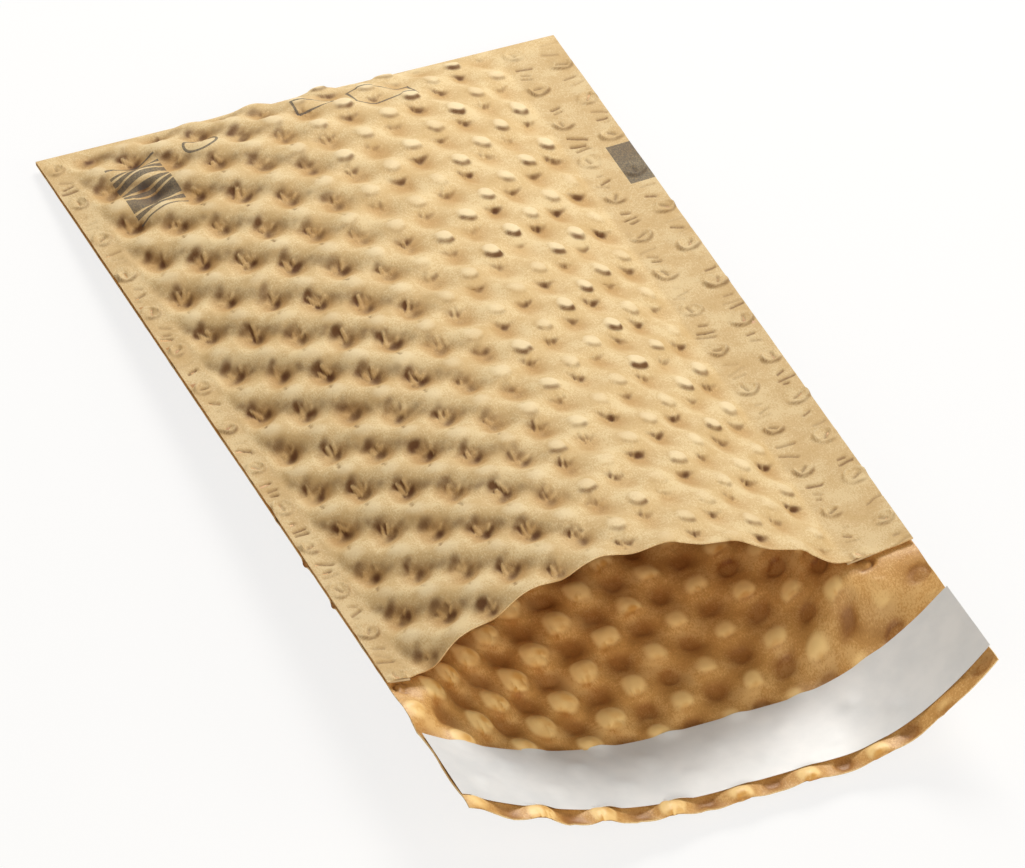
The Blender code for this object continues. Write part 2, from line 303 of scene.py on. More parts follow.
def node_random(column, row, seed):
    """One random number from 0 to 1 for each bump or dimple, found by its column and row."""
    table = np.random.default_rng(seed).uniform(0, 1, (NODE_COLUMNS, NODE_ROWS))
    return table[column.astype(int) % NODE_COLUMNS, row.astype(int) % NODE_ROWS]


print("noise at three places:", np.round(value_noise(np.arange(3), np.zeros(3), 5.0, 3), 2))

# %% [markdown]
# ## The embossing
#
# The product of two cosines is +1 on the bumps, -1 on the dimples and 0 on the saddles between them. That
# is the soft part of the relief. It equals the sum of two slanted waves. On the left half of the front
# one of the two is stronger, since the full pouch pulls the bumps together into slanting rows.
#
# On the right half the roller's pin leaves a small flat disc with a steep rim on top of each bump. The
# paper beside a dimple has more width than room, so it buckles: its far side drops in a short curved
# step, like a smile, and pleats run from the step up to the bump. On the left half, where the bumps are
# fuller, the paper drops in two broad steps instead, one to each side of the column's middle.

# %% Relief of bumps and dimples
WAVE_HEIGHT = 0.88
WAVE_FULLER = 0.25
ROWS_LEAN = 0.28
TOP_RISE = 0.42
TOP_RADIUS = 1.9
TOP_SLOPE = 0.9
TOP_SHIFT = 0.5
RIM_WIDTH = 0.75
STEP_DEPTH = 0.5
STEP_PLACE = 2.6
STEP_BEND = 0.13
STEP_LENGTH = 0.9
STEP_WIDE = 2.7
STEP_SHADE = 0.95
BROAD_STEPS = ((4.0, -1.0, 0.6), (-0.2, 0.9, 0.55))  # place along, place across and depth of each
BROAD_SLANT = 0.25
BROAD_LENGTH = 2.4
BROAD_WIDE = 2.9
BROAD_SHADE = (1.8, 2.4)


def row_number(u):
    """Number of the row at a place on the strip, with whole numbers at the bumps and the dimples."""
    return (u + np.where(u < 0, FIRST_BUMP, FIRST_BUMP + FOLD_SLIP)) / HALF_PERIOD


def wave(number, row, lean):
    """Minus cos(across) cos(along), as the sum of two slanted waves, one of which may be the stronger."""
    rising = (1 + lean) * np.cos(math.pi * (number + row))
    falling = (1 - lean) * np.cos(math.pi * (number - row))
    return -0.5 * (rising + falling)


def nearest_node(number, row_place):
    """Column, row and sign of the nearest bump or dimple, and the place relative to it in millimetres."""
    column, row = np.round(number), np.round(row_place)
    sign = -np.where((column + row) % 2 == 0, 1.0, -1.0)
    return column, row, sign, (number - column) * COLUMN_PITCH, (row_place - row) * HALF_PERIOD


def nearest_dimple(number, row_place):
    """Column and row of the nearest dimple in the nearest column, and the place relative to it."""
    column = np.round(number)
    row = column + 2 * np.round((row_place - column) / 2)
    return column, row, (number - column) * COLUMN_PITCH, (row_place - row) * HALF_PERIOD


def bell(distance, width):
    """A bell curve: e to the power of minus the square of the distance over the width."""
    return np.exp(-(distance / width) ** 2)


def pin_tops(column, row, sign, dx, dy):
    """A disc on each bump with a steep rim, and a painted shade on the rim's side that faces the mouth."""
    shift_x = TOP_SHIFT * node_random(column, row, 10)
    shift_y = TOP_SHIFT * node_random(column, row, 11)
    radius = np.hypot(dx - shift_x + TOP_SHIFT / 2, dy - shift_y + TOP_SHIFT / 2)
    strength = np.where(sign > 0, 0.3 + 1.0 * node_random(column, row, 12), 0.0)
    disc = 1 - smooth_step((radius - TOP_RADIUS) / TOP_SLOPE)
    towards_mouth = np.clip(-1.6 * dy / (radius + 0.1) - 0.2, 0, 1)
    rim = bell(radius - TOP_RADIUS - TOP_SLOPE / 2, RIM_WIDTH) * towards_mouth
    return strength * disc * TOP_RISE, strength * rim


def smiles(number, row_place, fuller):
    """The curved step at the far side of each dimple, or two broad steps by a full bump, and painted
    shade.

    A step is deep on the mouth's side of a bent line, zero beyond it, and fades out to both sides.
    """
    column, row, dx, dy = nearest_dimple(number, row_place)
    tilt = 0.5 * (node_random(column, row, 13) - 0.5)
    strength = 0.55 + 0.8 * node_random(column, row, 14)
    beyond = dy - STEP_PLACE - STEP_BEND * dx ** 2 - tilt * dx
    floor = smooth_step(0.5 - beyond / STEP_LENGTH) * smooth_step((dy + 2.0) / 4.0)
    height = strength * floor * bell(dx, STEP_WIDE) * STEP_DEPTH * (1 - fuller)
    shade = strength * (1 - fuller) * bell(beyond + 0.2, STEP_SHADE) * bell(dx, STEP_WIDE * 0.9)
    rise = smooth_step((dy + 7.0) / 6.0)
    # Painted shade in bands along the rows, on the slopes that face away from the key lamp
    patches = 0.55 * np.clip(np.sin(math.pi * (number + row_place) + 0.5), 0, 1) ** 1.5
    for place, aside, depth in BROAD_STEPS:
        across = dx - aside
        beyond = dy - place - (BROAD_SLANT + tilt) * across
        floor = smooth_step(0.5 - beyond / BROAD_LENGTH)
        height += fuller * depth * floor * rise * bell(across, BROAD_WIDE)
        # Painted shade on and beside each broad step
        patches = np.maximum(patches, bell(beyond, BROAD_SHADE[0]) * bell(across, BROAD_SHADE[1]))
    return height, shade + (0.75 + 0.25 * strength) * fuller * patches


print("waves of", WAVE_HEIGHT, "to", WAVE_HEIGHT + WAVE_FULLER, "mm, steps of", STEP_DEPTH, "mm")

# %% [markdown]
# ## Creases between a bump and its dimple
#
# Each crease is a short ridge or groove with its own tilt, length and depth, drawn from the random
# numbers of its bump or dimple: one to three pleats above the step, a whisker at each end of the step,
# and on the full bumps of the left half one groove on the far side.

# %% Creases
CREASE_WIDTH = 0.42
PLEAT_HEIGHT = 0.3
PLEAT_MIDDLE = 3.2
PLEAT_PLACES = (-0.8, 0.7, 2.0)
PLEAT_GROOVE = 0.65
GROOVE_DEPTH = 0.3


def crease_line(dx, dy, angle, offset, half_length, width):
    """A short ridge: a bell curve of the distance to a line, faded out beyond its two ends."""
    along = dx * np.sin(angle) + dy * np.cos(angle)
    aside = dx * np.cos(angle) - dy * np.sin(angle) - offset
    return bell(aside, width) * smooth_step((half_length - np.abs(along)) / width)


def pleats(number, row_place, fuller):
    """Ridges, each with a groove beside it, between a bump and the next dimple towards the mouth."""
    column, row, dx, dy = nearest_dimple(number, row_place)
    dy = dy - PLEAT_MIDDLE + 1.2 * fuller
    total = np.zeros_like(dx)
    for k, place in enumerate(PLEAT_PLACES):
        tilt = (node_random(column, row, 20 + k) - 0.5) * 0.9
        half_length = 0.8 + (1.0 + 0.8 * fuller) * node_random(column, row, 30 + k)
        strength = np.clip(1.5 * node_random(column, row, 40 + k) - 0.15 - 0.4 * k, 0, 1)
        shift = place + 0.6 * (node_random(column, row, 50 + k) - 0.5)
        total += strength * crease_line(dx, dy, tilt, shift, half_length, CREASE_WIDTH)
        beside = crease_line(dx, dy, tilt, shift - PLEAT_GROOVE, half_length, CREASE_WIDTH)
        total -= 0.8 * strength * beside
    for side in (-1, 1):
        strength = np.clip(1.6 * node_random(column, row, 60 + side) - 0.4, 0, 1)
        whisker = crease_line(dx - 1.5 * side, dy + 1.0, 0.8 * side, 0.0, 1.0, CREASE_WIDTH)
        total += 0.8 * strength * whisker
    return total


def far_grooves(column, row, sign, dx, dy, fuller):
    """A short groove on the far side of a full bump, where four bumps pull at the paper."""
    tilt = 0.5 * (node_random(column, row, 70) - 0.5)
    groove = crease_line(dx, dy - 2.9, tilt, -0.7, 1.8, 0.5)
    return np.where(sign > 0, groove * fuller * (0.4 + 0.8 * node_random(column, row, 71)), 0.0)


print("pleats up to", PLEAT_HEIGHT, "mm high")

# %% [markdown]
# ## The pressed seams
#
# The seams were embossed too, and then hot jaws crushed them flat. A crushed bump leaves the outline of
# its dome, a broken ring, and a crushed dimple leaves up to three short dashes across the column.

# %% Relief of crushed bumps
RING_RADIUS = 2.1
RING_WIDTH = 0.45
MARK_HEIGHT = 0.6
FULL_TURN = 6.28
DASH_PLACES = (-1.7, 1.3, 3.1)
DASH_WIDTH = 0.42


def crushed_marks(column, row, sign, dx, dy):
    """Rings where bumps were, broken around their rim, and dashes where dimples were, with their painted
    shade.
    """
    radius = np.hypot(dx * 0.95, dy)
    size = RING_RADIUS * (0.85 + 0.4 * node_random(column, row, 90))
    turn = np.arctan2(dy, dx)
    start = FULL_TURN * node_random(column, row, 91)
    broken = np.clip(0.8 + 0.4 * np.cos(turn + start) + 0.3 * np.cos(3 * turn + start), 0, 1.3)
    ring = 1.2 * bell(radius - size, RING_WIDTH) * broken
    dome = 0.5 * smooth_step((size - radius) / 0.9)
    fold = crease_line(dx, dy, node_random(column, row, 92) * math.pi, 0.3, 1.5, 0.4)
    ring_marks = ring + dome - 0.8 * fold
    # Painted shade on the ring's arc towards the mouth, which faces away from the key lamp
    lower = np.clip(0.4 - 0.6 * np.sin(turn), 0, 1)
    ring_shade = 0.75 * bell(radius - size - 0.4, 0.35) * broken * lower + 0.6 * fold
    dashes = np.zeros_like(dx)
    for k, place in enumerate(DASH_PLACES):
        tilt = math.pi / 2 + (node_random(column, row, 93 + k) - 0.5) * 0.9
        half_length = 1.0 + 1.8 * node_random(column, row, 96 + k)
        strength = np.clip(node_random(column, row, 99 + k) * 1.6 - 0.2, 0, 1.2)
        dashes += strength * crease_line(dx, dy, tilt, place, half_length, DASH_WIDTH)
    height = MARK_HEIGHT * np.where(sign > 0, ring_marks, -dashes)
    return height, np.where(sign > 0, ring_shade, 0.7 * dashes)


print("rings of about", RING_RADIUS, "mm radius, marks", MARK_HEIGHT, "mm high")

# %% [markdown]
# ## The whole relief
#
# The parts are added up. Near the fold the relief dies out. On the flap it is weaker, and weakest under
# the strip of adhesive, which holds the paper flat. The flap's free edge, held by nothing, ripples more.

# %% Height of the relief on the flat strip, and its painted shade
FLAP_CALM = 0.25
FLAP_CALM_RUN = 25
EDGE_RIPPLE = 0.5
EDGE_RIPPLE_RUN = 6
GLUED_CALM = 0.42
MOUTH_CALM = 0.3
MOUTH_CALM_RUN = 4
FLAP_SEAM_SHARE = 0.6


def seam_share(flat_x, u):
    """1 in the pocket, 0 in the pressed seams, and between them at the flap's sides, never pressed."""
    from_seam = np.minimum(flat_x - LEFT_SEAM + PANEL_WIDTH / 2, PANEL_WIDTH / 2 - RIGHT_SEAM - flat_x)
    pocket = smooth_step(from_seam / 3.0 + 0.4)
    return np.maximum(pocket, FLAP_SEAM_SHARE * smooth_step((u - PANEL_LENGTH) / HALF_PERIOD))


def calm_share(u):
    """How much of the relief is left: little by the fold, less than all at the mouth and on the flap."""
    glued = smooth_step((u - STRIP_END + LINER_SETBACK + LINER_WIDTH + 2) / 4)
    glued = glued * smooth_step((STRIP_END - LINER_SETBACK + 1.5 - u) / 3)
    calm = 1 - FLAP_CALM * smooth_step((u - PANEL_LENGTH) / FLAP_CALM_RUN) - GLUED_CALM * glued
    from_mouth = np.abs(u + PANEL_LENGTH)
    calm = calm * (1 - MOUTH_CALM * smooth_step((MOUTH_CALM_RUN - from_mouth) / MOUTH_CALM_RUN))
    calm = calm * smooth_step((np.abs(u) - HALF_SEAM) / FOLD_CREASE)
    return calm * (1 + EDGE_RIPPLE * smooth_step((u - STRIP_END + EDGE_RIPPLE_RUN) / EDGE_RIPPLE_RUN))


def sheet_relief(flat_x, u):
    """Height of the relief, outwards from the middle of the paper, and its painted shade, 0 to 1."""
    def noise(most, cell, seed):
        """Noise from minus most to most, in cells of a given size in millimetres."""
        return most * value_noise(flat_x, u, cell, seed)

    number = column_number(flat_x) + noise(0.05, 17.0, 1) + noise(0.04, 3.6, 5)
    row_place = row_number(u) + noise(0.05, 19.0, 2) + noise(0.05, 3.1, 6)
    column, row, sign, dx, dy = nearest_node(number, row_place)
    fuller = smooth_step((15.0 - flat_x) / 45.0) + 0 * u
    vary = 1 + noise(0.13, 9.0, 3) + noise(0.1, 31.0, 4)
    tops, painted_rim_shade = pin_tops(column, row, sign, dx, dy)
    tops = tops * (1 - fuller)
    steps, shades = smiles(number, row_place, fuller)
    lines = pleats(number, row_place, fuller)
    grooves = far_grooves(column, row, sign, dx, dy, fuller)
    waves = wave(number, row_place, ROWS_LEAN * fuller * (u < 0))
    embossed = (WAVE_HEIGHT + WAVE_FULLER * fuller) * waves * vary + tops - steps
    embossed += PLEAT_HEIGHT * lines - GROOVE_DEPTH * grooves
    # Painted shade on rims facing the mouth, at the steps, along the rows and in grooves; pleats painted
    # lighter
    painted_shade = 0.65 * painted_rim_shade * (1 - fuller) + (0.65 + 0.1 * fuller) * shades
    painted_shade += 0.5 * grooves - (0.25 + 0.35 * fuller) * lines
    painted_shade = painted_shade * (1 + noise(0.35, 1.5, 9))
    marks, mark_shade = crushed_marks(column, row, sign, dx, dy)
    share, calm = seam_share(flat_x, u), calm_share(u)
    grain = noise(0.05, 2.6, 7) + noise(0.08, 11.0, 8)
    height = (embossed * share + marks * (1 - share)) * calm + grain
    # The seams get an even painted shade, and the painted shade of their crushed marks
    painted_shade = (painted_shade * share + (0.22 + 0.5 * mark_shade) * (1 - share)) * calm
    return height, np.clip(painted_shade, 0, 1)


one_row = sheet_relief(np.linspace(-60, 50, 6), np.full(6, -100.0))
print("relief of one row:", np.round(one_row[0], 2), "mm")

# %% [markdown]
# ## Bending a whole grid of the strip
#
# Now the flat places, the curved form and the relief come together. The relief is pushed out along the
# paper's own direction, the cross product of the grid's two tangents. A dimple next to a seam can't go
# through the other layer of paper, and a bump of the back can't go into the table.

# %% Places of a grid of the strip in the seams' frame
FOLD_STEPS = 5
SEAM_GAP = 0.12


def bent_grid(flat_x, u):
    """Points of the outer face for every u (rows) and flat_x (columns), before the relief."""
    face = FRONT if u[len(u) // 2] < 0 else BACK
    s = np.abs(u)
    x = np.stack([across_row(flat_x, value, face) for value in s])
    z = level(x, s[:, None], face)
    return np.stack([x, np.repeat(-s[:, None], len(flat_x), 1), z], -1), face


def grid_normals(points, face):
    """Unit cross products of the grid's tangents, turned to point out of the pouch."""
    across = np.gradient(points, axis=1)
    along = np.gradient(points, axis=0)
    normal = np.cross(across, along)
    normal /= np.linalg.norm(normal, axis=-1, keepdims=True)
    return normal * np.sign(normal[..., 2:3]) * face


def embossed_grid(flat_x, u):
    """The outer face with its relief, kept on its own side of the seams' plane and above the table."""
    points, face = bent_grid(flat_x, u)
    height, painted_shade = sheet_relief(flat_x[None, :], u[:, None])
    points = points + grid_normals(points, face) * height[..., None]
    s = np.abs(u)[:, None]
    limit = seam_level(points[..., 0], s) + face * (HALF_SEAM - SEAM_GAP)
    if face == FRONT:
        points[..., 2] = np.maximum(points[..., 2], limit)
    else:
        points[..., 2] = np.where(s <= PANEL_LENGTH, np.minimum(points[..., 2], limit), points[..., 2])
        points[..., 2] = np.maximum(points[..., 2], table_level(points[..., 1]))
    return points, face, np.stack([height, painted_shade])


def fold_arc(seam_row, face):
    """A quarter turn from the panel's end to the tip of the fold, as rows of a circle about the seam."""
    angle = np.linspace(0, math.pi / 2, FOLD_STEPS + 1)[1:, None]
    x = np.repeat(seam_row[None, :, 0], FOLD_STEPS, 0)
    y = -HALF_SEAM + HALF_SEAM * np.sin(angle) + 0 * x
    z = face * HALF_SEAM * np.cos(angle) + 0 * x
    return np.stack([x, y, z], -1)


print("the fold's quarter turn has", FOLD_STEPS, "steps")

# %% [markdown]
# ## Meshes from grids
#
# A sheet of paper has two faces and a thin cut edge. The face that shows is a fine grid. The other one
# takes only some of its points, pushed back by the paper's thickness, and a band of triangles joins the
# two around the border, so the piece is one closed solid. The flat places are kept as the UV map, in
# units of 100 mm, so that print and paper grain follow the sheet.

# %% Helpers that turn grids into closed pieces
UV_UNIT = 100.0
SHARP_ANGLE = 75


def grid_quads(rows, columns, start=0):
    """Corner numbers of the cells of a grid whose points are numbered row by row from start."""
    corner = np.arange(rows * columns).reshape(rows, columns) + start
    cells = [corner[:-1, :-1], corner[:-1, 1:], corner[1:, 1:], corner[1:, :-1]]
    return np.stack([cell.ravel() for cell in cells], -1)


def border(rows, columns, start=0):
    """Point numbers round the border of a grid, in one closed loop."""
    corner = np.arange(rows * columns).reshape(rows, columns) + start
    return np.concatenate([corner[0, :-1], corner[:-1, -1], corner[-1, :0:-1], corner[:0:-1, 0]])


def rim_faces(fine, coarse):
    """Two fans of triangles for each step between a fine border and one with every k-th point of it."""
    k = len(fine) // len(coarse)
    here, there = coarse, np.roll(coarse, -1)
    steps = np.concatenate([fine.reshape(-1, k), np.roll(fine, -k).reshape(-1, k)[:, :1]], 1)
    fans = [np.stack([steps[:, i + 1], steps[:, i], here if i < k // 2 else there], -1) for i in range(k)]
    return np.concatenate([*fans, np.stack([steps[:, k // 2], here, there], -1)])


def new_object(name, data):
    """A new object with this data, in the scene."""
    thing = bpy.data.objects.new(name, data)
    bpy.context.scene.collection.objects.link(thing)
    return thing


def closed_sheet(name, fine, behind, places, every, flip):
    """One solid from a fine grid and every k-th point of the grid behind it, with a rim around."""
    fine, coarse = to_table(fine), to_table(behind[::every, ::every])
    rows, columns = fine.shape[:2]
    count = rows * columns
    fine_faces = grid_quads(rows, columns)
    coarse_faces = grid_quads(*coarse.shape[:2], count)[:, ::-1]
    rim = rim_faces(border(rows, columns), border(*coarse.shape[:2], count))
    faces = fine_faces.tolist() + coarse_faces.tolist() + rim.tolist()
    if flip:
        faces = [face[::-1] for face in faces]
    mesh = bpy.data.meshes.new(name)
    mesh.from_pydata(np.concatenate([fine.reshape(-1, 3), coarse.reshape(-1, 3)]).tolist(), [], faces)
    flat = np.concatenate([places.reshape(-1, 2), places[::every, ::every].reshape(-1, 2)]) / UV_UNIT
    corners = np.zeros(len(mesh.loops), int)
    mesh.loops.foreach_get("vertex_index", corners)
    mesh.uv_layers.new(name="flat_place").data.foreach_set("uv", flat[corners].ravel())
    kinds = np.repeat([0, 1, 2], [len(fine_faces), len(coarse_faces), len(rim)])
    mesh.polygons.foreach_set("material_index", kinds)
    mesh.shade_smooth()
    mesh.set_sharp_from_angle(angle=math.radians(SHARP_ANGLE))
    mesh.update()
    piece = new_object(name, mesh)
    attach(piece, "root")
    print(name, "has", 2 * len(fine_faces) + 2 * len(coarse_faces) + len(rim), "triangles")
    return piece


# %% [markdown]
# ## The front panel
#
# Rows and columns 0.45 mm apart are fine enough to show the creases. That is too many triangles for one
# piece, so each panel is cut across into two pieces that share the row where they meet. Each keeps the
# height of its relief, and a painted shade of its rims, steps and creases, as attributes for the material.

# %% Work out a panel, and cut pieces from it
def count_for(length, step, multiple, extra=0):
    """The number of points that is one more than a multiple, less some extra points that come later."""
    return multiple * round((length / step + extra) / multiple) + 1 - extra


def local_extreme(height, reach, choose):
    """The lowest or highest value within a square around each place, so that a coarse face keeps clear."""
    padded = np.pad(height, reach, mode="edge")
    rows = choose([padded[k:k + height.shape[0]] for k in range(2 * reach + 1)], axis=0)
    return choose([rows[:, k:k + height.shape[1]] for k in range(2 * reach + 1)], axis=0)


def whole_panel(u, step, every):
    """Both faces, flat places and relief of a panel with its half of the fold, in the strip's order."""
    flat_x = np.linspace(-PANEL_WIDTH / 2, PANEL_WIDTH / 2, count_for(PANEL_WIDTH, step, every))
    points, face, relief = embossed_grid(flat_x, u)
    flat_arc, no_u = np.zeros((2, FOLD_STEPS, len(flat_x))), np.zeros(FOLD_STEPS)
    if face == FRONT:
        parts = [points, fold_arc(points[-1], face)], [relief, flat_arc], [u, no_u]
    else:
        parts = [fold_arc(points[0], face)[::-1], points], [flat_arc, relief], [no_u, u]
    points, u = np.concatenate(parts[0]), np.concatenate(parts[2])
    relief = np.concatenate(parts[1], axis=1)
    places = np.stack(np.meshgrid(flat_x, u), -1)
    normals = grid_normals(points, face)
    choose = np.min if face == FRONT else np.max
    rows, columns = np.arange(len(u))[:, None], np.arange(len(flat_x))[None, :]
    to_end = np.minimum(rows, len(u) - 1 - rows)
    to_border = np.minimum(to_end, np.minimum(columns, len(flat_x) - 1 - columns))
    share = np.clip(to_border / (2 * every) - 0.5, 0, 1)
    clear = ((local_extreme(relief[0], every, choose) - relief[0]) * share)[..., None] * normals
    if face == FRONT:
        outer, inner = points, points - PAPER * normals + clear
    else:
        outer, inner = points + clear, points - PAPER * normals
        outer[..., 2] = np.maximum(outer[..., 2], table_level(outer[..., 1]))
    return {"outer": outer, "inner": inner, "places": places, "relief": relief}


def cut_piece(name, panel, first, last, fine_face, every):
    """The rows from first to last of a panel as a closed piece, one face fine and the other coarse."""
    rows = slice(first, last + 1)
    other = "inner" if fine_face == "outer" else "outer"
    piece = closed_sheet(name, panel[fine_face][rows], panel[other][rows], panel["places"][rows], every,
                         flip=fine_face == "inner")
    # The relief's height and its painted shade go to the material as point attributes
    for label, values in zip(("relief", "painted_shade"), panel["relief"][:, rows]):
        layer = piece.data.attributes.new(label, "FLOAT", "POINT")
        values = np.concatenate([values.ravel(), values[::every, ::every].ravel()])
        layer.data.foreach_set("value", values.astype(np.float32))
    return piece


# %% Make the front panel in two pieces
FRONT_STEP = 0.45
FRONT_EVERY = 4
front_rows = count_for(PANEL_LENGTH, FRONT_STEP, 2 * FRONT_EVERY, FOLD_STEPS)
front = whole_panel(-np.linspace(PANEL_LENGTH, HALF_SEAM, front_rows), FRONT_STEP, FRONT_EVERY)
middle_row = (front_rows + FOLD_STEPS) // 2
last_row = front_rows + FOLD_STEPS - 1
front_near = cut_piece("front_near_mouth", front, 0, middle_row, "outer", FRONT_EVERY)
front_far = cut_piece("front_near_fold", front, middle_row, last_row, "outer", FRONT_EVERY)
for piece in (front_near, front_far):
    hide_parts("kraft_front")

# %% [markdown]
# ## The back panel and the flap
#
# Here the inner face is the one that shows, through the mouth and on the flap, so it gets the fine grid.
# The rows are wider apart deep in the pouch, where little is seen.

# %% Make the back panel in two pieces
BACK_STEP = 0.6
BACK_EVERY = 2
DEEP_STEP = 0.8
SEEN_FROM = 150.0
deep_rows = count_for(SEEN_FROM, DEEP_STEP, BACK_EVERY, FOLD_STEPS)
seen_rows = count_for(STRIP_END - SEEN_FROM, BACK_STEP, BACK_EVERY)
deep = np.linspace(HALF_SEAM, SEEN_FROM, deep_rows)
seen = np.linspace(SEEN_FROM, STRIP_END, seen_rows)
back = whole_panel(np.concatenate([deep, seen[1:]]), BACK_STEP, BACK_EVERY)
last_deep = deep_rows + FOLD_STEPS - 1
back_far = cut_piece("back_near_fold", back, 0, last_deep, "inner", BACK_EVERY)
back_near = cut_piece("back_and_flap", back, last_deep, last_deep + seen_rows - 1, "inner", BACK_EVERY)
for piece in (back_far, back_near):
    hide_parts("kraft_back")

# %% [markdown]
# ## Materials
#
# One helper adds a shader node and joins its inputs. Colours are written as they look on a screen, and
# one function turns them into the linear light that the renderer works in.

# %% Helpers for materials
def linear(hex_colour):
    """An sRGB hex colour as linear red, green, blue and alpha."""
    channels = [int(hex_colour[k:k + 2], 16) / 255 for k in (1, 3, 5)]
    light = [c / 12.92 if c <= 0.04045 else ((c + 0.055) / 1.055) ** 2.4 for c in channels]
    return (*light, 1.0)


def add(tree, kind, inputs=None, **settings):
    """Adds a node. Settings are its own properties; inputs are values, or outputs of other nodes."""
    node = tree.nodes.new(kind)
    for key, value in settings.items():
        setattr(node, key, value)
    for key, value in (inputs or {}).items():
        if isinstance(value, bpy.types.NodeSocket):
            tree.links.new(value, node.inputs[key])
        else:
            node.inputs[key].default_value = value
    return node


def calculate(tree, operation, *values):
    """The output of a math node for values or outputs of other nodes."""
    return add(tree, "ShaderNodeMath", dict(enumerate(values)), operation=operation).outputs[0]


def mixed(tree, share, colour, tint, kind):
    """A colour with a share of a hex tint, mixed in or multiplied with it."""
    inputs = {0: share, 6: colour, 7: linear(tint)}
    return add(tree, "ShaderNodeMix", inputs, data_type="RGBA", blend_type=kind).outputs[2]


def set_stops(ramp_node, stops):
    """Gives a colour ramp its stops, a list of positions and hex colours, and returns its output."""
    elements = ramp_node.color_ramp.elements
    for _ in stops[2:]:
        elements.new(0.5)
    for element, (position, colour) in zip(elements, stops):
        element.position = position
        element.color = linear(colour)
    return ramp_node.outputs["Color"]


def new_material(name):
    """An empty material with its node tree and its Principled BSDF."""
    material = bpy.data.materials.new(name)
    material.use_nodes = True
    return material, material.node_tree, material.node_tree.nodes["Principled BSDF"]


def set_surface(tree, shader, colour, roughness, height, bump_height):
    """Joins a colour to the shader, and bumps its surface by a noise times a height in millimetres."""
    tree.links.new(colour, shader.inputs["Base Color"])
    shader.inputs["Roughness"].default_value = roughness
    bump = add(tree, "ShaderNodeBump", {"Height": height, "Distance": bump_height * MM})
    tree.links.new(bump.outputs["Normal"], shader.inputs["Normal"])


print("mid grey in linear light:", round(linear("#808080")[0], 3))

# %% [markdown]
# ### The print
#
# Mailers carry a registration mark that the machine's eye looks for, a block of bars, and small signs.
# Here the signs are plain shapes. Each is a field over the flat sheet: one inside the shape, zero
# outside, made with a few comparisons of the UV map. The ink follows the sheet over every bump.

# %% Fields of ink on the flat sheet
MARK_BOX = (66.75, -60.5, 6.6, 17.0)
BARS_BOX = (-50.5, -27.0, 13.0, 25.0)
BAR_STEP = 0.75
BAR_THRESHOLD = 0.42
RING = (-33.0, -19.5, 4.2, 0.7)
FRAMES = ((-2.5, -17.5, 10.0, 5.6), (16.0, -18.0, 17.0, 8.0))
FRAME_LINES = 1.3


def box_field(tree, x, y, centre_x, centre_y, width, height):
    """One where both distances to the centre are less than half the width and half the height."""
    field = None
    for place, centre, size in ((x, centre_x, width), (y, centre_y, height)):
        away = calculate(tree, "ABSOLUTE", calculate(tree, "SUBTRACT", place, centre / UV_UNIT))
        near = calculate(tree, "LESS_THAN", away, size / 2 / UV_UNIT)
        field = near if field is None else calculate(tree, "MULTIPLY", field, near)
    return field


def ring_field(tree, place, centre_x, centre_y, radius, line):
    """One where the distance to the centre differs from the radius by less than half the line's width."""
    centre = (centre_x / UV_UNIT, centre_y / UV_UNIT, 0.0)
    away = add(tree, "ShaderNodeVectorMath", {0: place, 1: centre}, operation="DISTANCE")
    return calculate(tree, "COMPARE", away.outputs["Value"], radius / UV_UNIT, line / 2 / UV_UNIT)


def print_field(tree, place):
    """The strength of the ink: the registration mark, the bars, a ring and two small frames."""
    split = add(tree, "ShaderNodeSeparateXYZ", {0: place})
    x, y = split.outputs["X"], split.outputs["Y"]
    mark = box_field(tree, x, y, *MARK_BOX)
    block = box_field(tree, x, y, *BARS_BOX)
    whole = calculate(tree, "FLOOR", calculate(tree, "MULTIPLY", y, UV_UNIT / BAR_STEP))
    random = add(tree, "ShaderNodeTexWhiteNoise", {"W": whole}, noise_dimensions="1D")
    dark = calculate(tree, "GREATER_THAN", random.outputs["Value"], BAR_THRESHOLD)
    fields = [mark, calculate(tree, "MULTIPLY", block, dark), ring_field(tree, place, *RING)]
    for centre_x, centre_y, width, height in FRAMES:
        outside = box_field(tree, x, y, centre_x, centre_y, width, height)
        inside = box_field(tree, x, y, centre_x, centre_y, width - FRAME_LINES, height - FRAME_LINES)
        fields.append(calculate(tree, "SUBTRACT", outside, inside))
    total = fields[0]
    for field in fields[1:]:
        total = calculate(tree, "MAXIMUM", total, field)
    return total


# %% [markdown]
# ### Kraft paper
#
# Kraft is unbleached, so it keeps the brown of the wood. It is matt, with a cloudy formation of fibres a
# few millimetres wide, and short fibres that show as a fine speckle. Where the roller pressed it into a
# dimple it is denser, darker and warmer; that tint is partly painted shade of the dimples. The tops of
# the bumps get a painted highlight, and the creases, steps and rims a painted shade. The inside of this
# paper is smoother, since it has a thin coat against damp. Its shades are lighter and more golden than
# the outside's: painted light for the warm light that bounces inside the pouch.

# %% Kraft paper, outside, inside and at the cut edge
OUTSIDE = ("#CDAC74", "#DABE8C", "#E6CFA0")
# The inside's shades are painted light: lighter and more golden, for light bounced inside the pouch
INSIDE = ("#BC8B4C", "#D2A15E", "#E2B878")
INK = "#4A4643"


